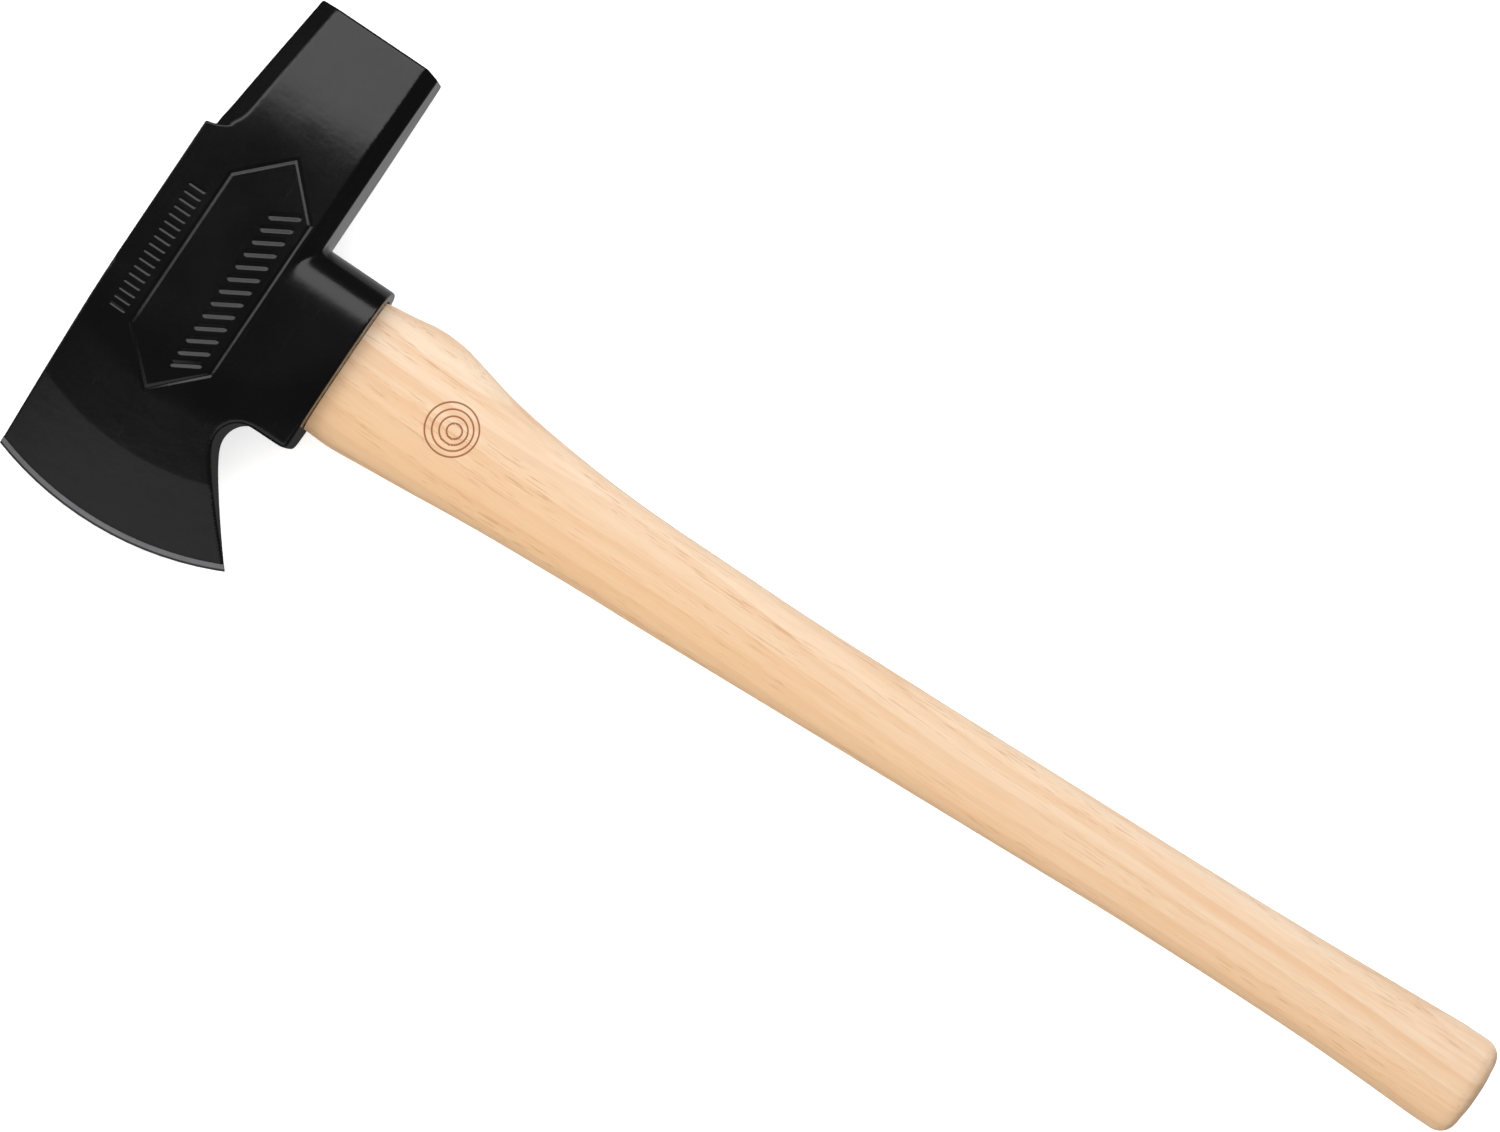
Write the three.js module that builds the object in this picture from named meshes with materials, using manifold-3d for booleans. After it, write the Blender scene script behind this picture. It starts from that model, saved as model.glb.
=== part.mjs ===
// Splitting maul: a forged steel head with a hammer poll on a wooden handle.
// The handle's tongue passes right through the head's eye, where a wooden wedge and two steel
// cross wedges spread it.
//
// Millimetres. While it is drawn, x runs along the handle from the end of the head's collar, y from
// the blade to the poll, and z = 0 is the plane of symmetry. The finished tool lies on its side: its
// origin is the bottom centre of its bounding box, with +Z up.

import * as THREE from "three";
import { mergeVertices } from "three/addons/utils/BufferGeometryUtils.js";
import Module from "manifold-3d";

const wasm = await Module();
wasm.setup();

// ---- Driving dimensions ----

const GAP = 0.3; // between neighbouring pieces

// Head, seen from the side
const HEAD_TOP_X = -94.2; // the head's top, where the eye opens
const HEAD_TOP_LEAN = 0.6; // how much less far the top reaches at the blade
const CHEEK_HALF_WIDTH = 24;
const HEAD_TOP_STEP_Y = 47.8; // the top steps in here, where the poll begins

// Poll: an octagonal bar that narrows towards its striking face
const POLL_FACE_Y = 110.8;
const POLL_ROOT_TOP_X = -91;
const POLL_FACE_TOP_X = -84.4;
const POLL_UNDERSIDE_X = -30.6;
const POLL_FACE_HALF_WIDTH = 18.3;
const POLL_BEND_START_Y = 51; // its sides leave the cheeks here in a curve
const POLL_BEND_END_Y = 84; // and run straight from here
const POLL_TOP_CHAMFER = 7.5; // legs of the chamfers along its top and its underside
const POLL_UNDERSIDE_CHAMFER = 6;
const POLL_CHAMFER_ROOT = 5; // leg of the top chamfers where they run out at the cheeks
const POLL_CHAMFER_RUN_OUT = 8;
const POLL_FACE_CORNER = { width: 5, fall: 1.4 }; // bevel where the striking face meets the underside
const POLL_CORNER_Y = POLL_FACE_Y - POLL_FACE_CORNER.fall;
const POLL_FILLET = 2; // between the underside and the collar

// Collar: on the poll side it rounds off from one cheek to the other
const COLLAR_AXIS_Y = 9.2;
const COLLAR_SQUARENESS = 3; // exponent of the superellipse of that side
const COLLAR_LOW_Y = -39.5;
const COLLAR_CORNER = 2.5;

// Blade: its cutting edge is an arc, and its width depends only on the distance from the arc's centre
const EDGE_CENTRE = new THREE.Vector2(-52.9, 30.1);
const EDGE_RADIUS = 135;
const EDGE_HALF_WIDTH = 0.25;
const FLANK_START_RADIUS = 60;
const FLANK_STRAIGHT_RADIUS = 80; // the flank curves up to here and runs straight from here
const BEVEL_RADIUS = 103.4;
const BEVEL_HALF_WIDTH = 12.6;
const HONED_RADIUS = 132;
const HONED_HALF_WIDTH = 1.3;
const BLADE_SEAM_Y = 2; // above this the blade's taper no longer narrows the head

// Beard: a round notch under the collar, then a curve out to the heel
const NOTCH_CENTRE = new THREE.Vector2(-14.9, -49.5);
const NOTCH_RADIUS = 10;
const NOTCH_END_ANGLE = THREE.MathUtils.degToRad(202);
const BEARD_BEND = new THREE.Vector2(-20.6, -62.2);
const HEEL = new THREE.Vector2(5.9, -91.9);
const HEEL_RUN_OUT = new THREE.Vector2(13.1, -100); // past the edge, on the beard's last tangent

// Eye, from the collar's end to the head's top: half depth in y, half width in z
const EYE_AXIS_Y = 0.4;
const EYE_LOW_HALF = { depth: 28.4, width: 13.4 };
const EYE_TOP_HALF = { depth: 30, width: 15.6 };
const EYE_SQUARENESS = 3; // exponent of the superellipse that the eye and the tongue share

// Wedges, driven in flush with the handle's tongue
const TONGUE_RECESS = 1; // how far the tongue's end stays inside the head's top
const WOOD_WEDGE = { length: 64, depth: 53, topWidth: 8.4, tipWidth: 2 };
const STEEL_WEDGE = { length: 30, depth: 3.4, tipDepth: 1, width: 22 };
const STEEL_WEDGE_OFFSET_Y = 14;

// Handle outside the head. Each line is [x, y], from the collar to the knob
const HANDLE_BACK = [
  [0, 28.6], [12, 30.2], [26, 31.9], [38, 30.5], [61, 25.1], [90, 21.3], [125, 19], [170, 18.9],
  [215, 19.3], [300, 21.9], [400, 25.4], [470, 29], [515, 31.8],
];
const HANDLE_BELLY = [
  [0, -29.2], [8, -29.9], [40, -27.5], [77, -24.3], [120, -21.8], [150, -20.6], [214, -17.5], [306, -13.1],
  [370, -10.2], [440, -8.8], [480, -9.4], [515, -10.6],
];
const HANDLE_HALF_WIDTH = [
  [0, 13.6], [26, 14.2], [90, 13.2], [170, 12.6], [300, 12.8], [400, 13.4], [470, 14.4], [515, 15.2],
];
const HANDLE_END_X = 515.3;
const HANDLE_SQUARENESS = 2.8;
const HANDLE_END_ROUND = 6;
const HANDLE_END_DOME = 1.6; // how far the end bulges between its rounds
const HANDLE_DOME_SHARE = 0.45; // of the end's width and depth that is flat on top of the bulge

// Faceting
const ARC_STEPS = 10;
const BLADE_SECTORS = 120;
const POLL_BEND_STEPS = 12;
const COLLAR_SIDES = 128;
const EYE_SIDES = 40;
const HANDLE_SIDES = 28;
const HANDLE_STEPS = 44;
const END_STEPS = 5;

// ---- Colours ----

const COATED_STEEL = { color: 0x17181a, roughness: 0.5, metalness: 0.4 };
const BARE_STEEL = { color: 0x8c8f92, roughness: 0.35, metalness: 1 };
const HICKORY = { color: 0xe6bd8c, roughness: 0.55, metalness: 0 };
const WEDGE_WOOD = { color: 0xd0a06c, roughness: 0.65, metalness: 0 };

// ---- Joining and cutting ----

function toSolid(geometry) {
  const bare = geometry.clone();
  bare.deleteAttribute("normal");
  bare.deleteAttribute("uv");
  const merged = mergeVertices(bare, 1e-4);
  const mesh = new wasm.Mesh({
    numProp: 3,
    vertProperties: new Float32Array(merged.attributes.position.array),
    triVerts: new Uint32Array(merged.index.array),
  });
  return new wasm.Manifold(mesh);
}

function toGeometry(solid) {
  const { vertProperties, triVerts } = solid.getMesh();
  const geometry = new THREE.BufferGeometry();
  geometry.setAttribute("position", new THREE.BufferAttribute(vertProperties, 3));
  geometry.setIndex(new THREE.BufferAttribute(triVerts, 1));
  geometry.computeVertexNormals();
  return geometry;
}

function namedMesh(name, solid, look) {
  const mesh = new THREE.Mesh(toGeometry(solid), new THREE.MeshStandardMaterial(look));
  mesh.name = name;
  return mesh;
}

// ---- Basic shapes ----

function box(low, high) {
  const size = new THREE.Vector3(...high).sub(new THREE.Vector3(...low));
  const centre = new THREE.Vector3(...high).add(new THREE.Vector3(...low)).multiplyScalar(0.5);
  return toSolid(new THREE.BoxGeometry(size.x, size.y, size.z).translate(centre.x, centre.y, centre.z));
}

// An outline in the xy plane, given thickness on both sides of the plane of symmetry.
function plate(outline, halfWidth) {
  const geometry = new THREE.ExtrudeGeometry(outline, {
    depth: 2 * halfWidth,
    bevelEnabled: false,
    curveSegments: ARC_STEPS,
  });
  return toSolid(geometry.translate(0, 0, -halfWidth));
}

// A bar lofted through stations. place(station, a, b) moves the point (a, b) of a unit circle, or its
// centre, to where it belongs on that station's section.
function loftedBar(stations, sides, turn, place) {
  const steps = stations.length - 1;
  const geometry = new THREE.CylinderGeometry(1, 1, steps, sides, steps, false, turn);
  const { position } = geometry.attributes;
  for (let i = 0; i < position.count; i++) {
    const station = stations[Math.round(position.getY(i) + steps / 2)];
    position.setXYZ(i, ...place(station, position.getX(i), position.getZ(i)));
  }
  return toSolid(geometry);
}

// A bar along x whose section is a superellipse. sectionAt(x) gives its centre height and half sizes.
function superellipseBar(stations, sides, squareness, sectionAt) {
  const bulge = (value) => Math.sign(value) * Math.abs(value) ** (2 / squareness);
  return loftedBar(stations, sides, 0, (x, a, b) => {
    const { y, halfDepth, halfWidth } = sectionAt(x);
    return [x, y + halfDepth * bulge(a), -halfWidth * bulge(b)];
  });
}

function evenSteps(from, to, count) {
  return Array.from({ length: count + 1 }, (_, i) => from + ((to - from) * i) / count);
}

// How far a side has moved in, a distance past the start of its bend, for each unit of the slope that
// it has where the bend ends.
function movedIn(distance, bend) {
  const past = Math.max(0, distance);
  return past < bend ? (past * past) / (2 * bend) : past - bend / 2;
}

// ---- Head ----

// The side view of the forging, without its poll and the round half of its collar. It runs past the
// cutting edge, which the blade's taper trims to its arc.
function headOutline() {
  const belowEdge = EDGE_CENTRE.y - EDGE_RADIUS - 5;
  const outline = new THREE.Shape();
  outline.moveTo(HEAD_TOP_X + HEAD_TOP_LEAN, belowEdge);
  outline.lineTo(HEEL_RUN_OUT.x, belowEdge);
  outline.lineTo(HEEL_RUN_OUT.x, HEEL_RUN_OUT.y);
  outline.lineTo(HEEL.x, HEEL.y);
  const notchEnd = new THREE.Vector2(Math.cos(NOTCH_END_ANGLE), Math.sin(NOTCH_END_ANGLE))
    .multiplyScalar(NOTCH_RADIUS)
    .add(NOTCH_CENTRE);
  outline.quadraticCurveTo(BEARD_BEND.x, BEARD_BEND.y, notchEnd.x, notchEnd.y);
  outline.absarc(NOTCH_CENTRE.x, NOTCH_CENTRE.y, NOTCH_RADIUS, NOTCH_END_ANGLE, Math.PI / 2, true);
  outline.lineTo(-COLLAR_CORNER, COLLAR_LOW_Y);
  outline.quadraticCurveTo(0, COLLAR_LOW_Y, 0, COLLAR_LOW_Y + COLLAR_CORNER);
  outline.lineTo(0, COLLAR_AXIS_Y);
  outline.lineTo(POLL_UNDERSIDE_X - POLL_UNDERSIDE_CHAMFER, COLLAR_AXIS_Y);
  outline.lineTo(POLL_UNDERSIDE_X - POLL_UNDERSIDE_CHAMFER, POLL_BEND_START_Y);
  outline.lineTo(POLL_ROOT_TOP_X + POLL_CHAMFER_ROOT, POLL_BEND_START_Y);
  outline.quadraticCurveTo(POLL_ROOT_TOP_X, HEAD_TOP_STEP_Y, HEAD_TOP_X, HEAD_TOP_STEP_Y);
  return outline;
}

// Half the blade's width at a distance from the centre of the cutting edge's arc.
function bladeProfile() {
  const bend = FLANK_STRAIGHT_RADIUS - FLANK_START_RADIUS;
  const slope = (CHEEK_HALF_WIDTH - BEVEL_HALF_WIDTH) / movedIn(BEVEL_RADIUS - FLANK_START_RADIUS, bend);
  const flank = evenSteps(FLANK_START_RADIUS, FLANK_STRAIGHT_RADIUS, ARC_STEPS).map((radius) => [
    radius,
    CHEEK_HALF_WIDTH - slope * movedIn(radius - FLANK_START_RADIUS, bend),
  ]);
  return [
    ...flank,
    [BEVEL_RADIUS, BEVEL_HALF_WIDTH],
    [HONED_RADIUS, HONED_HALF_WIDTH],
    [EDGE_RADIUS, EDGE_HALF_WIDTH],
  ];
}

// A disc as thick as the blade, plus a block that leaves the rest of the head its full width.
function bladeEnvelope() {
  const side = bladeProfile();
  const profile = [
    [0, CHEEK_HALF_WIDTH],
    ...side,
    ...side.map(([radius, halfWidth]) => [radius, -halfWidth]).reverse(),
    [0, -CHEEK_HALF_WIDTH],
  ].map(([radius, z]) => new THREE.Vector2(radius, z));
  const disc = new THREE.LatheGeometry(profile.reverse(), BLADE_SECTORS)
    .rotateX(Math.PI / 2)
    .translate(EDGE_CENTRE.x, EDGE_CENTRE.y, 0);
  const reach = 2 * EDGE_RADIUS;
  const block = box([-reach, BLADE_SEAM_Y, -reach], [reach, reach, reach]);
  return toSolid(disc).add(block);
}

// The poll's section at a height y. Grown, it stands further out of the underside and its chamfers.
function pollSection(y, grown) {
  const bend = POLL_BEND_END_Y - POLL_BEND_START_Y;
  const fullTaper = movedIn(POLL_FACE_Y - POLL_BEND_START_Y, bend);
  const slope = (CHEEK_HALF_WIDTH - POLL_FACE_HALF_WIDTH) / fullTaper;
  const runOut = THREE.MathUtils.smoothstep(y - POLL_BEND_START_Y, 0, POLL_CHAMFER_RUN_OUT);
  const intoCorner = Math.max(0, y - POLL_CORNER_Y) * (POLL_FACE_CORNER.width / POLL_FACE_CORNER.fall);
  const alongTop = Math.max(0, y - HEAD_TOP_STEP_Y) / (POLL_FACE_Y - HEAD_TOP_STEP_Y);
  return {
    topX: THREE.MathUtils.lerp(POLL_ROOT_TOP_X, POLL_FACE_TOP_X, alongTop),
    topChamfer: THREE.MathUtils.lerp(POLL_CHAMFER_ROOT, POLL_TOP_CHAMFER, runOut),
    undersideX: POLL_UNDERSIDE_X - intoCorner + grown,
    undersideChamfer: POLL_UNDERSIDE_CHAMFER - intoCorner + grown,
    halfWidth: CHEEK_HALF_WIDTH - slope * movedIn(y - POLL_BEND_START_Y, bend),
  };
}

function pollBar(grown) {
  const stations = [
    COLLAR_AXIS_Y,
    ...evenSteps(POLL_BEND_START_Y, POLL_BEND_END_Y, POLL_BEND_STEPS),
    POLL_CORNER_Y,
    POLL_FACE_Y,
  ];
  return loftedBar(stations, 8, Math.PI / 8, (y, a, b) => {
    const { topX, topChamfer, undersideX, undersideChamfer, halfWidth } = pollSection(y, grown);
    const towardsUnderside = (Math.sign(a) + 1) / 2;
    const x = THREE.MathUtils.lerp(topX, undersideX, towardsUnderside);
    const chamfer = THREE.MathUtils.lerp(topChamfer, undersideChamfer, towardsUnderside);
    return Math.abs(a) > Math.abs(b)
      ? [x, y, Math.sign(b) * (halfWidth - chamfer)]
      : [x - Math.sign(a) * chamfer, y, Math.sign(b) * halfWidth];
  });
}

// The collar as a bar on the stations, as wide and as deep as twice halfSizeAt(x).
function collarBar(stations, halfSizeAt) {
  return superellipseBar(stations, COLLAR_SIDES, COLLAR_SQUARENESS, (x) => ({
    y: COLLAR_AXIS_Y,
    halfDepth: halfSizeAt(x),
    halfWidth: halfSizeAt(x),
  }));
}

function collar() {
  return collarBar([2 * POLL_UNDERSIDE_X, 0], () => CHEEK_HALF_WIDTH);
}

// The concave ring where the collar runs into the poll, as far as the poll's chamfers let it stand.
function collarFillet() {
  const insideX = POLL_UNDERSIDE_X - POLL_UNDERSIDE_CHAMFER;
  const arc = evenSteps(0, Math.PI / 2, ARC_STEPS).map(
    (angle) => POLL_UNDERSIDE_X + POLL_FILLET * (1 - Math.cos(angle)),
  );
  const ring = collarBar([insideX, ...arc], (x) => {
    const beforeEnd = Math.min(1, (arc.at(-1) - x) / POLL_FILLET);
    return CHEEK_HALF_WIDTH + POLL_FILLET * (1 - Math.sqrt(1 - beforeEnd * beforeEnd));
  });
  return ring.intersect(pollBar(POLL_FILLET));
}

// The eye's section at x, made smaller on all sides by a clearance.
function eyeSection(x, clearance) {
  const t = x / HEAD_TOP_X;
  return {
    y: EYE_AXIS_Y,
    halfDepth: THREE.MathUtils.lerp(EYE_LOW_HALF.depth, EYE_TOP_HALF.depth, t) - clearance,
    halfWidth: THREE.MathUtils.lerp(EYE_LOW_HALF.width, EYE_TOP_HALF.width, t) - clearance,
  };
}

function eyeCut() {
  const stations = [HEAD_TOP_X - 5, 5];
  return superellipseBar(stations, EYE_SIDES, EYE_SQUARENESS, (x) => eyeSection(x, 0));
}

function makeHead() {
  const solid = plate(headOutline(), CHEEK_HALF_WIDTH)
    .add(pollBar(0))
    .add(collarFillet())
    .add(collar())
    .intersect(bladeEnvelope())
    .subtract(eyeCut());
  return namedMesh("head", solid, COATED_STEEL);
}

// ---- Wedges ----

// A wedge that narrows towards +x. Its two half sizes are given at its head and at its tip.
function taperedBlock(startX, length, centreY, headHalf, tipHalf) {
  const geometry = new THREE.BoxGeometry(length, 2, 2);
  const { position } = geometry.attributes;
  for (let i = 0; i < position.count; i++) {
    const half = position.getX(i) < 0 ? headHalf : tipHalf;
    position.setY(i, position.getY(i) * half.y);
    position.setZ(i, position.getZ(i) * half.z);
  }
  return toSolid(geometry.translate(startX + length / 2, centreY, 0));
}

// With a clearance, the same wedge is the slot it sits in, open at the tongue's end.
function woodWedge(clearance) {
  const { length, depth, topWidth, tipWidth } = WOOD_WEDGE;
  return taperedBlock(
    HEAD_TOP_X + TONGUE_RECESS - clearance,
    length + 2 * clearance,
    EYE_AXIS_Y,
    { y: depth / 2 + clearance, z: topWidth / 2 + clearance },
    { y: depth / 2 + clearance, z: tipWidth / 2 + clearance },
  );
}

function steelWedge(side, clearance) {
  const { length, depth, tipDepth, width } = STEEL_WEDGE;
  return taperedBlock(
    HEAD_TOP_X + TONGUE_RECESS - clearance,
    length + 2 * clearance,
    EYE_AXIS_Y + side * STEEL_WEDGE_OFFSET_Y,
    { y: depth / 2 + clearance, z: width / 2 + clearance },
    { y: tipDepth / 2 + clearance, z: width / 2 + clearance },
  );
}

function makeWoodWedge() {
  const solid = woodWedge(0).subtract(steelWedge(-1, GAP)).subtract(steelWedge(1, GAP));
  return namedMesh("wood_wedge", solid, WEDGE_WOOD);
}

function makeSteelWedge(name, side) {
  return namedMesh(name, steelWedge(side, 0), BARE_STEEL);
}

// ---- Handle ----

// Height of a smooth line through the given points, at x.
function heightOf(line) {
  const curve = new THREE.SplineCurve(line.map(([x, y]) => new THREE.Vector2(x, y)));
  const samples = curve.getPoints(20 * line.length);
  return (x) => {
    const next = Math.max(1, samples.findIndex((point) => point.x >= x));
    const [a, b] = [samples[next - 1], samples[next]];
    return THREE.MathUtils.mapLinear(x, a.x, b.x, a.y, b.y);
  };
}

const backAt = heightOf(HANDLE_BACK);
const bellyAt = heightOf(HANDLE_BELLY);
const halfWidthAt = heightOf(HANDLE_HALF_WIDTH);

// The last few sections shrink along a quarter circle, so the end's rim is round.
function handleSection(x) {
  const lastX = HANDLE_BACK.at(-1)[0];
  const at = Math.min(x, lastX);
  const intoRound = Math.max(0, x - (HANDLE_END_X - HANDLE_END_DOME - HANDLE_END_ROUND));
  const angle = Math.min(1, intoRound / HANDLE_END_ROUND);
  const inset = HANDLE_END_ROUND * (1 - Math.sqrt(1 - angle * angle));
  const back = backAt(at);
  const belly = bellyAt(at);
  return {
    y: (back + belly) / 2,
    halfDepth: (back - belly) / 2 - inset,
    halfWidth: halfWidthAt(at) - inset,
  };
}

function handleGrip() {
  const roundStart = HANDLE_END_X - HANDLE_END_DOME - HANDLE_END_ROUND;
  const grip = evenSteps(GAP, roundStart, HANDLE_STEPS);
  const round = evenSteps(0, Math.PI / 2, END_STEPS)
    .slice(1)
    .map((angle) => roundStart + HANDLE_END_ROUND * Math.sin(angle));
  const stations = [...grip, ...round, HANDLE_END_X];
  return superellipseBar(stations, HANDLE_SIDES, HANDLE_SQUARENESS, (x) => {
    const section = handleSection(Math.min(x, stations.at(-2)));
    const keep = x === HANDLE_END_X ? HANDLE_DOME_SHARE : 1;
    return { y: section.y, halfDepth: section.halfDepth * keep, halfWidth: section.halfWidth * keep };
  });
}

function handleTongue() {
  const stations = [HEAD_TOP_X + TONGUE_RECESS, 2 * GAP];
  return superellipseBar(stations, EYE_SIDES, EYE_SQUARENESS, (x) => eyeSection(x, GAP));
}

function makeHandle() {
  const solid = handleGrip()
    .add(handleTongue())
    .subtract(woodWedge(GAP))
    .subtract(steelWedge(-1, GAP))
    .subtract(steelWedge(1, GAP));
  return namedMesh("handle", solid, HICKORY);
}

// ---- Assembly ----

const maul = new THREE.Group();
maul.add(
  makeHead(),
  makeHandle(),
  makeWoodWedge(),
  makeSteelWedge("steel_wedge_front", -1),
  makeSteelWedge("steel_wedge_rear", 1),
);

const extent = new THREE.Box3().setFromObject(maul);
const centre = extent.getCenter(new THREE.Vector3());
maul.position.set(-centre.x, -centre.y, -extent.min.z);

export default maul;
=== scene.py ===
"""Looks of a splitting maul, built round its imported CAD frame.

Everything is in metres, in the frame's own axes: x runs along the handle away from the head, y from
the blade to the poll, and z is up, with the maul lying on one cheek.
"""

import math

import bmesh
import bpy
import numpy as np
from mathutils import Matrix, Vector


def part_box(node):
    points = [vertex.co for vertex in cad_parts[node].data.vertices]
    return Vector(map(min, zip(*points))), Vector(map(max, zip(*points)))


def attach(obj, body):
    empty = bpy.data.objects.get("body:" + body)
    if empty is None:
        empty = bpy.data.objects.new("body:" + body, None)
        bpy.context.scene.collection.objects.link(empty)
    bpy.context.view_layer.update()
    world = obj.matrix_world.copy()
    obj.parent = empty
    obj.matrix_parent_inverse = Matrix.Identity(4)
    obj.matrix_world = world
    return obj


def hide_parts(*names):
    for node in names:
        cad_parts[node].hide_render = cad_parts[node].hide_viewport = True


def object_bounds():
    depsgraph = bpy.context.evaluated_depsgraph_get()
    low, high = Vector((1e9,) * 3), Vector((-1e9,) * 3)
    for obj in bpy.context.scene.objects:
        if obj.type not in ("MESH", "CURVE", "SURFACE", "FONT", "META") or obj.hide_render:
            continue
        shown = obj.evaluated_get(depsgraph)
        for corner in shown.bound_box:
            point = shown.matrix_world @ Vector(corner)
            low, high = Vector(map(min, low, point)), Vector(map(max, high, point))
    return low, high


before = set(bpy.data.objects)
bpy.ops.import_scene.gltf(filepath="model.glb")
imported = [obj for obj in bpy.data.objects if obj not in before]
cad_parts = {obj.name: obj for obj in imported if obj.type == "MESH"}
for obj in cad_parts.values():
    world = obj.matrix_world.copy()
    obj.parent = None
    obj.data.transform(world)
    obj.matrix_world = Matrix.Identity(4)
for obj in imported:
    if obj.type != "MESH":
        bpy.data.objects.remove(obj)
CAD_LOW, CAD_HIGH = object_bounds()

MM = 0.001

# ---- Landmarks, worked out from the frame ----

HEAD_LOW, HEAD_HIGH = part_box("head")
HANDLE_END_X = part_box("handle")[1].x
WEDGE_LOW, WEDGE_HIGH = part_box("wood_wedge")
MIDDLE = (CAD_LOW + CAD_HIGH) / 2
EYE_LENGTH = 94.2 * MM  # from the head's top to the end of its collar
EYE = Vector((HEAD_LOW.x + EYE_LENGTH, (WEDGE_LOW.y + WEDGE_HIGH.y) / 2, MIDDLE.z))
EDGE_RADIUS = 135 * MM
EDGE_CENTRE = Vector((EYE.x - 52.9 * MM, HEAD_LOW.y + EDGE_RADIUS, MIDDLE.z))

# ---- Sizes ----

UPWARDS = 0.5  # a normal whose z is more than this belongs to the upper side
HEAD_VOXEL = 0.5 * MM
SLIVER = 0.02 * MM  # corners closer than this are merged
HONED_RADIUS = 132.3 * MM  # the honed strip starts this far from the edge's centre
HONED_OVERLAP = 1.5 * MM  # how far the forging runs on inside the honed strip
HONED_PROUD = 1.05  # the strip's width against the forging's, so that it covers it
EDGE_LINE = 0.9 * MM  # the darker line at the very edge
DISC_SIDES = 720
DISC_HEIGHT = 0.2

# Corners of both cheeks that are rounder than the rest, in millimetres beside the eye
COLLAR_TO_POLL = {"x": -34, "y": 21, "z": 21, "reach": 13, "iterations": 80}
COLLAR_TO_BEARD = {"x": -8, "y": -46, "z": 22, "reach": 26, "iterations": 50}

HANDLE_STATIONS = 520
HANDLE_SIDES = 108
HANDLE_SQUARENESS = 3.2  # exponent of the superellipse of its section
STATION_GAP = 0.4 * MM  # corners of the CAD grip closer than this along x share a station
KNOB_ROUND = 7 * MM
KNOB_DOME = 1.6 * MM
KNOB_STEPS = 14
DOME_STEPS = 10
DOME_TIP = 0.05  # share of the end's width and depth that is left at the dome's middle


def beside_eye(x, y, z=0.0):
    """The point that lies x, y, z millimetres from the collar's end, on the eye's axis."""
    return EYE + Vector((x, y, z)) * MM


# ---- Node trees ----


class Shader:
    """A material's node tree, built one node at a time."""

    def __init__(self, name):
        self.material = bpy.data.materials.new(name)
        self.material.use_nodes = True
        self.tree = self.material.node_tree
        self.surface = self.tree.nodes["Principled BSDF"]
        self.coords = self.node("ShaderNodeTexCoord").outputs["Object"]

    def node(self, kind, inputs=None, **settings):
        made = self.tree.nodes.new(kind)
        for key, value in settings.items():
            setattr(made, key, value)
        for key, value in (inputs or {}).items():
            self.set(made.inputs[key], value)
        return made

    def set(self, socket, value):
        if isinstance(value, bpy.types.NodeSocket):
            self.tree.links.new(value, socket)
        else:
            socket.default_value = value

    def stretched(self, scale):
        """The object's coordinates, multiplied by a scale for each axis."""
        return self.node("ShaderNodeMapping", {"Vector": self.coords, "Scale": scale}).outputs[0]

    def noise(self, scale, detail=4.0, roughness=0.5, distortion=0.0, vector=None):
        """A noise value from 0 to 1. Scale is one number, or one for each axis."""
        if isinstance(scale, tuple):
            vector, scale = self.stretched(scale), 1.0
        return self.node(
            "ShaderNodeTexNoise",
            {
                "Vector": vector or self.coords,
                "Scale": scale,
                "Detail": detail,
                "Roughness": roughness,
                "Distortion": distortion,
            },
        ).outputs["Fac"]

    def ramp(self, value, start, end, low=0.0, high=1.0):
        """Low up to start and high from end, smooth between them."""
        return self.node(
            "ShaderNodeMapRange",
            {
                "Value": value,
                "From Min": start,
                "From Max": end,
                "To Min": low,
                "To Max": high,
            },
            interpolation_type="SMOOTHSTEP",
        ).outputs[0]

    def math(self, operation, *values):
        return self.node(
            "ShaderNodeMath", dict(enumerate(values)), operation=operation
        ).outputs[0]

    def mix(self, factor, a, b, blend="MIX"):
        made = self.node("ShaderNodeMix", data_type="RGBA", blend_type=blend)
        self.set(made.inputs["Factor"], factor)
        for socket, value in ((made.inputs[6], a), (made.inputs[7], b)):
            self.set(socket, value if isinstance(value, bpy.types.NodeSocket) else (*value, 1.0))
        return made.outputs[2]

    def bump(self, height, distance, strength=1.0, normal=None):
        inputs = {"Height": height, "Distance": distance, "Strength": strength}
        if normal is not None:
            inputs["Normal"] = normal
        return self.node("ShaderNodeBump", inputs).outputs[0]

    def finish(self, **sockets):
        """Sets the surface's sockets, given with underscores for spaces, and returns the material."""
        for key, value in sockets.items():
            self.set(self.surface.inputs[key.replace("_", " ")], value)
        return self.material


# ---- Materials ----


def coated_steel():
    """Satin black coating on a forging: faintly uneven, with a few dull scuffs."""
    s = Shader("coated_steel")
    patches = s.noise(38.0, detail=3.0)
    grain = s.noise(900.0, detail=5.0, roughness=0.6)
    dents = s.noise(110.0, detail=2.0)
    scuffs = s.ramp(s.noise((700.0, 45.0, 700.0), detail=6.0, roughness=0.65), 0.60, 0.75)
    black = s.mix(patches, (0.0020, 0.0020, 0.0022), (0.0032, 0.0032, 0.0035))
    color = s.mix(s.math("MULTIPLY", scuffs, 0.3), black, (0.010, 0.010, 0.010))
    satin = s.math("ADD", s.ramp(grain, 0.3, 0.7, 0.0, 0.03), s.ramp(patches, 0.3, 0.7, 0.16, 0.20))
    rough = s.math("ADD", satin, s.math("MULTIPLY", scuffs, 0.08))
    waves = s.bump(dents, 0.25 * MM, 0.3)
    normal = s.bump(grain, 0.04 * MM, 0.3, waves)
    return s.finish(
        Base_Color=color, Roughness=rough, Normal=normal, Metallic=0.0, IOR=1.5
    )


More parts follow.
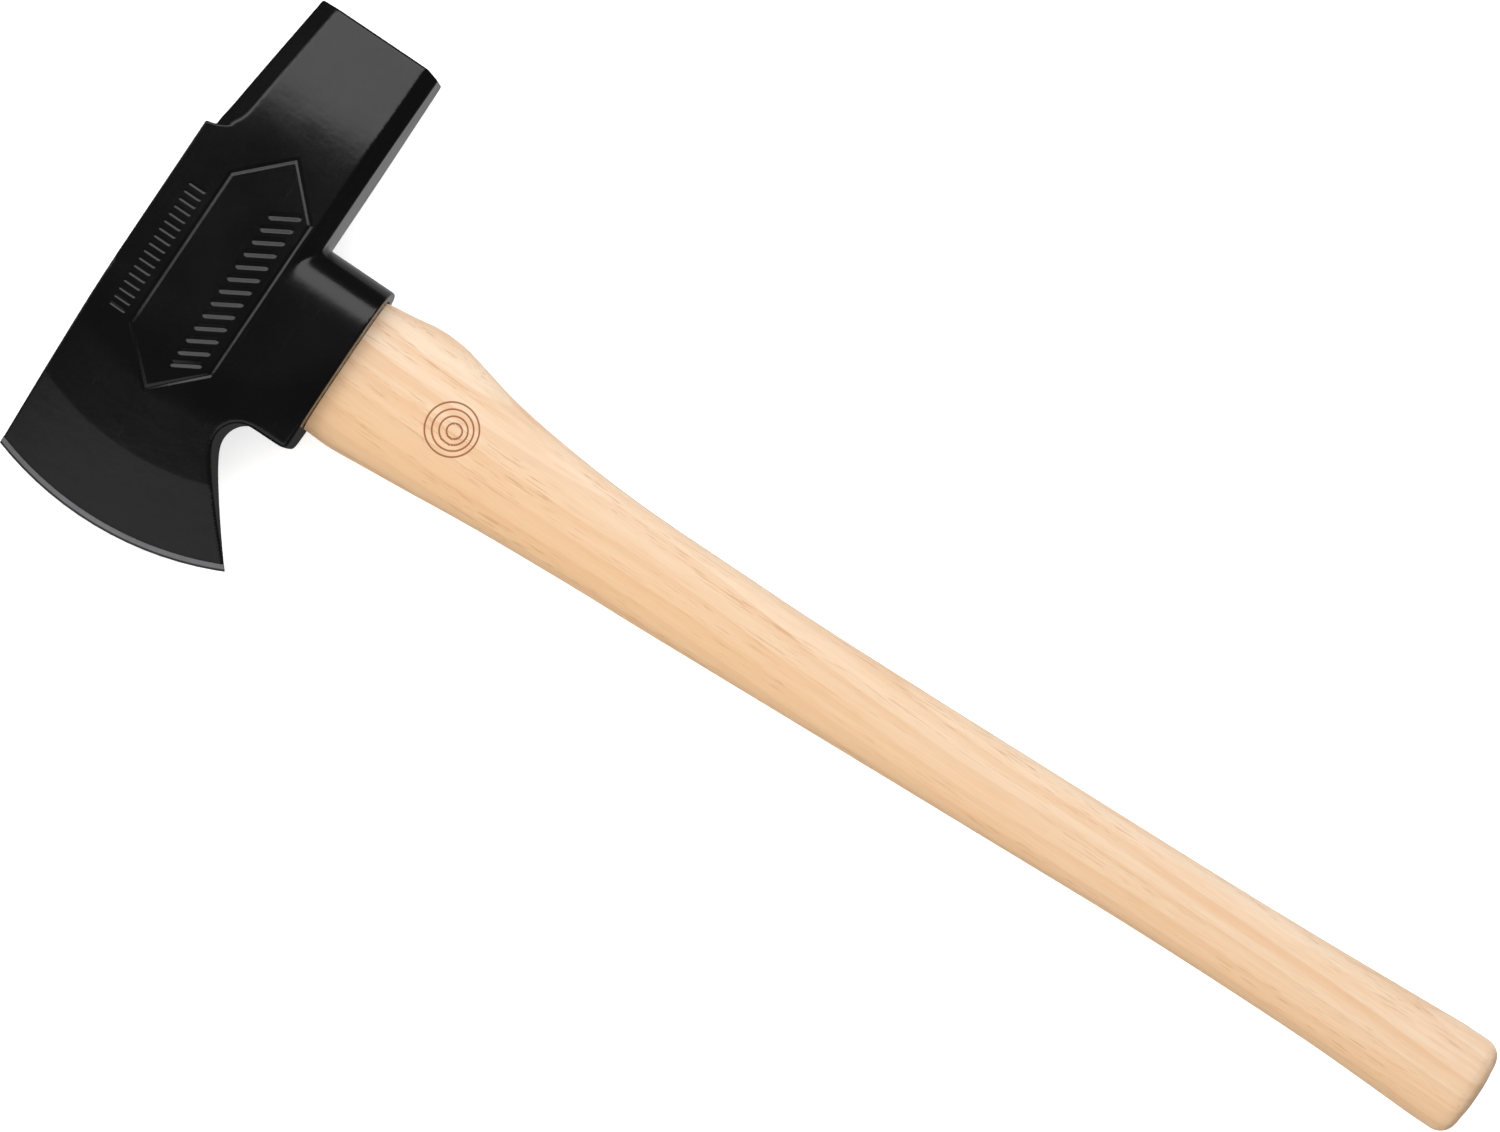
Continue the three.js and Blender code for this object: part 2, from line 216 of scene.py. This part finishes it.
def honed_steel():
    """Bright ground steel, with fine scratches and a darker line at the very edge."""
    s = Shader("honed_steel")
    scratches = s.noise((3000.0, 90.0, 90.0), detail=4.0)
    patches = s.noise(90.0, detail=3.0)
    from_centre = s.node("ShaderNodeVectorMath", {0: s.coords, 1: EDGE_CENTRE}, operation="DISTANCE")
    line_start = EDGE_RADIUS - EDGE_LINE
    line = s.ramp(from_centre.outputs["Value"], line_start - 0.2 * MM, line_start + 0.2 * MM)
    color = s.mix(patches, (0.32, 0.32, 0.33), (0.50, 0.50, 0.51))
    color = s.mix(line, color, (0.10, 0.10, 0.103))
    rough = s.ramp(scratches, 0.3, 0.7, 0.28, 0.42)
    return s.finish(
        Base_Color=color,
        Roughness=rough,
        Normal=s.bump(scratches, 0.02 * MM, 0.5),
        Metallic=1.0,
    )


def wedge_steel():
    """Plain mild steel, dull from its scale, with hammer marks."""
    s = Shader("wedge_steel")
    blotches = s.noise(500.0, detail=5.0)
    color = s.mix(blotches, (0.26, 0.255, 0.25), (0.42, 0.42, 0.425))
    rough = s.ramp(blotches, 0.3, 0.7, 0.42, 0.6)
    return s.finish(
        Base_Color=color,
        Roughness=rough,
        Normal=s.bump(s.noise(700.0), 0.2 * MM, 0.5),
        Metallic=0.7,
    )


def growth_rings(s, pith, spacing):
    """Distance from the tree's pith in rings, bent by slow noise: its fraction grows through a ring."""
    bend = s.node(
        "ShaderNodeTexNoise",
        {"Vector": s.stretched((3.2, 14.0, 14.0)), "Scale": 1.0, "Detail": 2.0},
    ).outputs["Color"]
    pulled = s.node(
        "ShaderNodeVectorMath",
        {0: bend, 1: (0.0, 0.022, 0.022)},
        operation="MULTIPLY_ADD",
    )
    s.set(pulled.inputs[2], s.coords)
    split = s.node("ShaderNodeSeparateXYZ", {0: pulled.outputs[0]})
    across = s.math("SUBTRACT", split.outputs["Y"], pith[0])
    upwards = s.math("SUBTRACT", split.outputs["Z"], pith[1])
    flat = s.node("ShaderNodeCombineXYZ", {"X": across, "Y": upwards})
    radius = s.node("ShaderNodeVectorMath", {0: flat.outputs[0]}, operation="LENGTH").outputs["Value"]
    return s.math("FRACT", s.math("DIVIDE", radius, spacing))


def handle_wood():
    """Pale hickory: growth rings and streaks along the handle, short dark pores in bands, a painted
    sheen that makes it paler towards the poll's side, and darker end grain."""
    s = Shader("handle_wood")
    ring = growth_rings(s, (-70 * MM, -30 * MM), 6.5 * MM)
    late = s.math("MULTIPLY", s.ramp(ring, 0.35, 0.95), s.ramp(ring, 1.0, 0.93))
    streaks = s.noise((8.0, 170.0, 170.0), detail=6.0, roughness=0.65)
    fibres = s.noise((40.0, 1300.0, 1300.0), detail=4.0, roughness=0.6)
    painted_sheen_wobble = s.noise((4.0, 50.0, 50.0), detail=2.0)
    pores = s.ramp(s.noise((80.0, 1700.0, 1700.0), detail=3.0), 0.56, 0.66)
    bands = s.ramp(s.noise((9.0, 110.0, 110.0), detail=3.0), 0.42, 0.60, 0.15, 1.0)
    facing = s.node("ShaderNodeSeparateXYZ", {0: s.node("ShaderNodeTexCoord").outputs["Normal"]})
    end = s.ramp(s.math("ABSOLUTE", facing.outputs["X"]), 0.45, 0.9)
    height = s.node("ShaderNodeSeparateXYZ", {0: s.coords}).outputs["Y"]
    # Painted sheen: the wood is paler towards the poll's side, where the main light's sheen falls, and
    # darker towards the blade's side; noise wobbles where the change lies.
    painted_sheen_height = s.math("ADD", height, s.math("MULTIPLY", painted_sheen_wobble, 16 * MM))
    color = s.mix(s.ramp(painted_sheen_height, -12 * MM, 32 * MM), (0.82, 0.54, 0.31), (0.885, 0.70, 0.525))
    color = s.mix(s.ramp(streaks, 0.40, 0.68, 0.0, 0.5), color, (0.80, 0.48, 0.255))
    color = s.mix(s.math("MULTIPLY", late, 0.28), color, (0.70, 0.39, 0.19))
    color = s.mix(s.ramp(fibres, 0.35, 0.75, 0.0, 0.22), color, (0.74, 0.43, 0.22))
    color = s.mix(s.math("MULTIPLY", s.math("MULTIPLY", pores, bands), 0.45), color, (0.52, 0.26, 0.12))
    color = s.mix(s.math("MULTIPLY", end, 0.45), color, (0.42, 0.235, 0.115))
    burnt = s.node("ShaderNodeAttribute", attribute_name="engraved").outputs["Fac"]
    color = s.mix(s.ramp(burnt, 0.05, 0.5, 0.0, 0.95), color, (0.33, 0.10, 0.035))
    grain = s.math("SUBTRACT", fibres, s.math("MULTIPLY", pores, 0.6))
    return s.finish(
        Base_Color=color,
        Roughness=s.ramp(streaks, 0.3, 0.7, 0.42, 0.55),
        Normal=s.bump(grain, 0.12 * MM, 0.35),
        Specular_IOR_Level=0.35,
    )


def wedge_wood():
    """Darker, coarser wood. Only its end grain shows, so it has rings and open pores."""
    s = Shader("wedge_wood")
    ring = growth_rings(s, (40 * MM, 90 * MM), 2.4 * MM)
    pores = s.ramp(s.noise((400.0, 1900.0, 1900.0), detail=2.0), 0.58, 0.68)
    color = s.mix(s.ramp(ring, 0.2, 0.9), (0.50, 0.30, 0.15), (0.36, 0.19, 0.085))
    color = s.mix(s.math("MULTIPLY", pores, 0.6), color, (0.16, 0.075, 0.03))
    return s.finish(
        Base_Color=color,
        Roughness=s.ramp(pores, 0.0, 1.0, 0.6, 0.75),
        Normal=s.bump(pores, -0.25 * MM, 0.5),
    )


def floor_white():
    """A pale matt table top with the faintest unevenness."""
    s = Shader("floor_white")
    color = s.mix(s.noise(6.0), (0.87, 0.87, 0.87), (0.90, 0.90, 0.90))
    return s.finish(
        Base_Color=color,
        Roughness=0.9,
        Specular_IOR_Level=0.1,
        Emission_Color=(1.0, 1.0, 1.0, 1.0),
        Emission_Strength=0.6,
    )


# ---- Mesh work ----


def new_object(name, mesh):
    made = bpy.data.objects.new(name, mesh)
    bpy.context.scene.collection.objects.link(made)
    return made


def node_copy(node, name):
    """A copy of a CAD node as one closed mesh, its split corners merged."""
    bm = bmesh.new()
    bm.from_mesh(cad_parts[node].data)
    bmesh.ops.remove_doubles(bm, verts=bm.verts, dist=0.005 * MM)
    for face in bm.faces:
        face.material_index = 0
    mesh = bpy.data.meshes.new(name)
    bm.to_mesh(mesh)
    bm.free()
    return new_object(name, mesh)


def apply_modifier(piece, kind, **settings):
    modifier = piece.modifiers.new(kind, kind)
    for key, value in settings.items():
        setattr(modifier, key, value)
    depsgraph = bpy.context.evaluated_depsgraph_get()
    mesh = bpy.data.meshes.new_from_object(piece.evaluated_get(depsgraph), depsgraph=depsgraph)
    piece.modifiers.clear()
    piece.data = mesh
    mesh.name = piece.name


def without_slivers(piece):
    """Merges corners that lie almost together, and the faces that this leaves with no area."""
    bm = bmesh.new()
    bm.from_mesh(piece.data)
    bmesh.ops.remove_doubles(bm, verts=bm.verts, dist=SLIVER)
    bmesh.ops.dissolve_degenerate(bm, edges=bm.edges, dist=SLIVER)
    bm.to_mesh(piece.data)
    bm.free()


def keep_disc(piece, radius, inside):
    """Keeps what lies within a radius of the edge's centre, or what lies beyond it."""
    bm = bmesh.new()
    bmesh.ops.create_cone(
        bm, cap_ends=True, segments=DISC_SIDES, radius1=radius, radius2=radius, depth=DISC_HEIGHT
    )
    bmesh.ops.translate(bm, verts=bm.verts, vec=EDGE_CENTRE)
    mesh = bpy.data.meshes.new("disc")
    bm.to_mesh(mesh)
    bm.free()
    disc = new_object("disc", mesh)
    operation = "INTERSECT" if inside else "DIFFERENCE"
    apply_modifier(piece, "BOOLEAN", object=disc, operation=operation, solver="EXACT")
    bpy.data.objects.remove(disc)


def coordinates(mesh):
    co = np.empty(len(mesh.vertices) * 3, np.float32)
    mesh.vertices.foreach_get("co", co)
    return co.reshape(-1, 3).astype(float)


def soften(piece, iterations, centre=None, reach=None):
    """Rounds off the corners of a dense mesh, everywhere or only within reach of a point."""
    settings = {"factor": 0.5, "iterations": iterations}
    if centre is not None:
        distance = np.linalg.norm(coordinates(piece.data) - np.array(centre), axis=1)
        weight = np.clip(1.5 * (1 - distance / reach), 0, 1)
        group = piece.vertex_groups.new(name="soften")
        for index in np.flatnonzero(weight):
            group.add([int(index)], float(weight[index]), "REPLACE")
        settings["vertex_group"] = group.name
    apply_modifier(piece, "SMOOTH", **settings)
    piece.vertex_groups.clear()


def distance_to_strokes(points, strokes):
    """How far each point is, seen from above, from the nearest of the strokes' lines."""
    nearest = np.full(len(points), np.inf)
    for start, end in strokes:
        a, b = np.array(start[:2]), np.array(end[:2])
        along = (points - a) @ (b - a) / ((b - a) @ (b - a))
        foot = a + np.clip(along, 0, 1)[:, None] * (b - a)
        nearest = np.minimum(nearest, np.linalg.norm(points - foot, axis=1))
    return nearest


def engrave(piece, strokes, width, depth, refinements):
    """Cuts V-shaped grooves along strokes into the piece's upper side, and marks them with the
    attribute "engraved"."""
    bm = bmesh.new()
    bm.from_mesh(piece.data)
    mark = bm.verts.layers.float.get("engraved") or bm.verts.layers.float.new("engraved")
    for _ in range(refinements):
        bm.normal_update()
        upper = [face for face in bm.faces if face.normal.z > UPWARDS]
        centres = np.array([face.calc_center_median()[:2] for face in upper])
        sizes = np.array([face.calc_area() ** 0.5 for face in upper])
        near = distance_to_strokes(centres, strokes) < width / 2 + sizes
        edges = {edge for face, is_near in zip(upper, near) if is_near for edge in face.edges}
        bmesh.ops.subdivide_edges(bm, edges=list(edges), cuts=1, use_grid_fill=True)
    bmesh.ops.triangulate(bm, faces=[face for face in bm.faces if len(face.verts) > 4])
    bm.normal_update()
    upper = [vertex for vertex in bm.verts if vertex.normal.z > UPWARDS]
    places = np.array([vertex.co[:2] for vertex in upper])
    distance = distance_to_strokes(places, strokes) / (width / 2)
    for vertex, share in zip(upper, distance):
        if share < 1:
            vertex[mark] = 1 - share
            vertex.co.z -= depth * vertex[mark]
    bm.to_mesh(piece.data)
    bm.free()


def smooth_shaded(piece):
    """Shades a piece smoothly, except across its sharp corners."""
    for polygon in piece.data.polygons:
        polygon.use_smooth = True
    piece.data.set_sharp_from_angle(angle=math.radians(50))


def dress(piece, material, slot, *nodes):
    """Gives a finished piece its material and body, and lets it stand for CAD nodes. The slot is not used.
    """
    piece.data.materials.clear()
    piece.data.materials.append(material)
    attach(piece, "root")
    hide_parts(*nodes)


# ---- Head ----


def cheek_hexagon():
    """The frame of the cheek's decoration, a long hexagon."""
    centre_x, centre_y = -57, 2
    half_width, half_side, tip = 18, 34, 52
    hexagon = (
        (-half_width, -half_side),
        (-half_width, half_side),
        (0, tip),
        (half_width, half_side),
        (half_width, -half_side),
        (0, -tip),
    )
    corners = [beside_eye(centre_x + x, centre_y + y) for x, y in hexagon]
    return list(zip(corners, corners[1:] + corners[:1]))


def cheek_bars():
    """A column of slanted bars inside the hexagon."""
    start_x, end_x, spacing, slant = -53, -44.5, 5.6, 2.5
    return [
        (beside_eye(start_x, spacing * row - slant), beside_eye(end_x, spacing * row + slant))
        for row in range(-6, 7)
    ]


def cheek_ticks():
    """A column of short ticks near the head's top."""
    start_x, end_x, spacing, middle_y = -85.5, -79.5, 3.4, -3
    return [
        (beside_eye(start_x, spacing * row + middle_y), beside_eye(end_x, spacing * row + middle_y))
        for row in range(-8, 9)
    ]


def make_head():
    head = node_copy("head", "maul_head")
    keep_disc(head, HONED_RADIUS + HONED_OVERLAP, inside=True)
    apply_modifier(head, "REMESH", mode="VOXEL", voxel_size=HEAD_VOXEL)
    soften(head, iterations=5)
    for side in (-1, 1):
        for corner in (COLLAR_TO_POLL, COLLAR_TO_BEARD):
            centre = beside_eye(corner["x"], corner["y"], side * corner["z"])
            soften(head, corner["iterations"], centre, corner["reach"] * MM)
    engrave(head, cheek_hexagon(), width=2.2 * MM, depth=0.42 * MM, refinements=1)
    engrave(head, cheek_bars(), width=3.0 * MM, depth=0.56 * MM, refinements=1)
    engrave(head, cheek_ticks(), width=1.4 * MM, depth=0.27 * MM, refinements=1)
    smooth_shaded(head)
    dress(head, coated_steel(), "coated_steel", "head")


def make_honed_edge():
    """The honed strip along the cutting edge: a hair wider than the forging inside it."""
    strip = node_copy("head", "honed_edge")
    keep_disc(strip, HONED_RADIUS, inside=False)
    without_slivers(strip)
    for vertex in strip.data.vertices:
        vertex.co.z = MIDDLE.z + (vertex.co.z - MIDDLE.z) * HONED_PROUD
    dress(strip, honed_steel(), "bare_steel", "head")


# ---- Handle ----


def grip_outline():
    """The CAD grip's stations: x, lowest y, highest y and half width, one row for each."""
    co = coordinates(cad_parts["handle"].data)
    co = co[co[:, 0] > EYE.x]
    co = co[np.argsort(co[:, 0])]
    starts = np.flatnonzero(np.diff(co[:, 0]) > STATION_GAP) + 1
    return np.array(
        [
            (ring[0, 0], ring[:, 1].min(), ring[:, 1].max(), ring[:, 2].max() - MIDDLE.z)
            for ring in np.split(co, starts)
        ]
    )


def smooth_through(x, xs, ys):
    """Catmull-Rom line through points, at x."""
    slopes = np.gradient(ys, xs)
    i = np.clip(np.searchsorted(xs, x) - 1, 0, len(xs) - 2)
    step = xs[i + 1] - xs[i]
    t = np.clip((x - xs[i]) / step, 0, 1)
    return (
        (1 + 2 * t) * (1 - t) ** 2 * ys[i]
        + t * (1 - t) ** 2 * step * slopes[i]
        + t * t * (3 - 2 * t) * ys[i + 1]
        + t * t * (t - 1) * step * slopes[i + 1]
    )


def loft(name, rings):
    """A closed mesh through rings that all have the same number of points."""
    count, sides = len(rings), len(rings[0])
    vertices = np.concatenate(rings)
    faces = [
        (a * sides + b, a * sides + (b + 1) % sides, (a + 1) * sides + (b + 1) % sides, (a + 1) * sides + b)
        for a in range(count - 1)
        for b in range(sides)
    ]
    faces.append(tuple(reversed(range(sides))))
    faces.append(tuple(range((count - 1) * sides, count * sides)))
    mesh = bpy.data.meshes.new(name)
    mesh.from_pydata(vertices.tolist(), [], faces)
    mesh.validate()
    return new_object(name, mesh)


def burnt_mark():
    """The growth rings of a log's end, burnt into the handle as generic decoration. They crowd
    together on one side, as they do in a tree that leans."""
    centre_x, centre_y, outermost, shift, steps = 48, 2, 10.5, 1.6, 48
    strokes = []
    for radius in (3, 5.5, 8, outermost):
        ring_x = centre_x + shift * (1 - radius / outermost)
        ring = [
            beside_eye(
                ring_x + radius * math.cos(2 * math.pi * step / steps),
                centre_y + radius * math.sin(2 * math.pi * step / steps),
            )
            for step in range(steps)
        ]
        strokes += zip(ring, ring[1:] + ring[:1])
    return strokes


def grip_ring(outline, x, inset=0.0, share=1.0):
    """One section of the grip, made smaller by an inset all round and by a share of its size. Past the
    end of the outline it stays the same."""
    low, high, half = (
        smooth_through(min(x, outline[-1, 0]), outline[:, 0], outline[:, column]) for column in (1, 2, 3)
    )
    turns = np.linspace(0, 2 * math.pi, HANDLE_SIDES, endpoint=False)
    across, upwards = (
        np.sign(wave) * np.abs(wave) ** (2 / HANDLE_SQUARENESS) for wave in (np.cos(turns), np.sin(turns))
    )
    half_depth = ((high - low) / 2 - inset) * share
    half_width = (half - inset) * share
    return np.stack(
        [np.full(HANDLE_SIDES, x), (high + low) / 2 + half_depth * across, MIDDLE.z + half_width * upwards],
        axis=1,
    )


def make_grip():
    round_start = HANDLE_END_X - KNOB_ROUND - KNOB_DOME
    outline = grip_outline()
    outline = outline[outline[:, 0] < round_start]
    stations = np.linspace(outline[0, 0], round_start, HANDLE_STATIONS)
    rings = [grip_ring(outline, x) for x in stations]
    for angle in np.linspace(0, math.pi / 2, KNOB_STEPS)[1:]:
        x = round_start + KNOB_ROUND * math.sin(angle)
        rings.append(grip_ring(outline, x, inset=KNOB_ROUND * (1 - math.cos(angle))))
    for share in np.linspace(1, DOME_TIP, DOME_STEPS)[1:]:
        x = HANDLE_END_X - KNOB_DOME * share**2
        rings.append(grip_ring(outline, x, KNOB_ROUND, share))
    grip = loft("handle_grip", rings)
    engrave(grip, burnt_mark(), width=0.9 * MM, depth=0.12 * MM, refinements=3)
    smooth_shaded(grip)
    return grip


def make_tongue():
    tongue = node_copy("handle", "handle_tongue")
    bm = bmesh.new()
    bm.from_mesh(tongue.data)
    cut = bmesh.ops.bisect_plane(
        bm,
        geom=bm.verts[:] + bm.edges[:] + bm.faces[:],
        plane_co=EYE,
        plane_no=(1, 0, 0),
        clear_outer=True,
    )
    bmesh.ops.holes_fill(bm, edges=[e for e in cut["geom_cut"] if isinstance(e, bmesh.types.BMEdge)])
    bm.to_mesh(tongue.data)
    bm.free()
    apply_modifier(tongue, "BEVEL", width=0.4 * MM, segments=2, limit_method="ANGLE")
    without_slivers(tongue)
    return tongue


def make_handle():
    wood = handle_wood()
    dress(make_grip(), wood, "handle_wood", "handle")
    dress(make_tongue(), wood, "handle_wood", "handle")


# ---- Wedges ----


def make_wedge(node, material, slot):
    wedge = node_copy(node, node + "_driven")
    apply_modifier(wedge, "BEVEL", width=0.35 * MM, segments=3, limit_method="ANGLE")
    smooth_shaded(wedge)
    dress(wedge, material, slot, node)


def make_wedges():
    make_wedge("wood_wedge", wedge_wood(), "wedge_wood")
    steel = wedge_steel()
    for node in ("steel_wedge_front", "steel_wedge_rear"):
        make_wedge(node, steel, "bare_steel")


# ---- Studio ----

CAMERA_AIM = Vector((-39.5, 19.85, 0)) * MM  # from the middle of the maul's box
CAMERA_DISTANCE = 2.1
CAMERA_ROLL = math.radians(34)
CAMERA_LENS = 131.6
SOFTBOX_DISTANCE = 1.6
FLOOR_HALF_SIZE = 4
WORLD_IN_REFLECTIONS = 0.06


def make_camera():
    data = bpy.data.cameras.new("camera")
    data.lens = CAMERA_LENS
    data.sensor_width = 36
    camera = new_object("camera", data)
    camera.location = MIDDLE + CAMERA_AIM + Vector((0, 0, CAMERA_DISTANCE))
    camera.rotation_euler = (0, 0, CAMERA_ROLL)
    bpy.context.scene.camera = camera


def make_panel(name, centre, direction, size, radiance):
    """A rectangular light that the camera doesn't see. It shines against its direction."""
    data = bpy.data.lights.new(name, "AREA")
    data.shape = "RECTANGLE"
    data.size, data.size_y = size
    data.energy = radiance * math.pi * size[0] * size[1]
    light = new_object(name, data)
    light.location = centre
    light.rotation_euler = direction.to_track_quat("Z", "Y").to_euler()
    light.visible_camera = False
    return light


def make_softbox(name, azimuth, tilts, width, radiance):
    """A panel that faces the head and covers a range of tilts from straight above. The tilts and the
    azimuth, its bearing from +X towards +Y, are in degrees."""
    bearing = math.radians(azimuth)
    lowest, highest = (math.radians(tilt) for tilt in tilts)
    lean = (lowest + highest) / 2
    direction = Vector(
        (math.cos(bearing) * math.sin(lean), math.sin(bearing) * math.sin(lean), math.cos(lean))
    )
    height = 2 * SOFTBOX_DISTANCE * math.tan((highest - lowest) / 2)
    centre = (HEAD_LOW + HEAD_HIGH) / 2 + direction * SOFTBOX_DISTANCE
    return make_panel(name, centre, direction, (width, height), radiance)


def make_lights():
    make_softbox("main_softbox", 115, (14, 46), 3.0, 2.15)
    make_softbox("fill_softbox", 280, (43, 75), 2.5, 0.64)
    make_softbox("back_softbox", 180, (55, 88), 2.0, 0.8)
    overhead = make_panel("overhead_panel", Vector((0, 0, 1.6)), Vector((0, 0, 1)), (2.6, 2.6), 1.3)
    overhead.visible_glossy = False
    card_centre = Vector((HEAD_HIGH.x - 5 * MM, 70 * MM, CAD_LOW.z + 1 * MM))
    card = make_panel("reflection_card", card_centre, Vector((0, 0, -1)), (0.07, 0.09), 0.3)
    card.visible_diffuse = False


def make_world():
    """White where the camera looks past the floor, and nearly black in reflections."""
    world = bpy.data.worlds.new("studio")
    world.use_nodes = True
    tree = world.node_tree
    back = tree.nodes["Background"]
    path = tree.nodes.new("ShaderNodeLightPath")
    strength = tree.nodes.new("ShaderNodeMapRange")
    strength.inputs["To Min"].default_value = WORLD_IN_REFLECTIONS
    strength.inputs["To Max"].default_value = 1.0
    tree.links.new(path.outputs["Is Camera Ray"], strength.inputs["Value"])
    tree.links.new(strength.outputs["Result"], back.inputs["Strength"])
    back.inputs["Color"].default_value = (1.0, 1.0, 1.0, 1.0)
    bpy.context.scene.world = world


def make_floor():
    bm = bmesh.new()
    bmesh.ops.create_grid(bm, x_segments=1, y_segments=1, size=FLOOR_HALF_SIZE)
    mesh = bpy.data.meshes.new("floor")
    bm.to_mesh(mesh)
    bm.free()
    floor = new_object("floor", mesh)
    floor.location.z = CAD_LOW.z
    floor.visible_glossy = False
    mesh.materials.append(floor_white())


def set_color_management():
    view = bpy.context.scene.view_settings
    view.view_transform = "Standard"
    view.look = "None"


make_head()
make_honed_edge()
make_handle()
make_wedges()
make_camera()
make_lights()
make_world()
make_floor()
set_color_management()
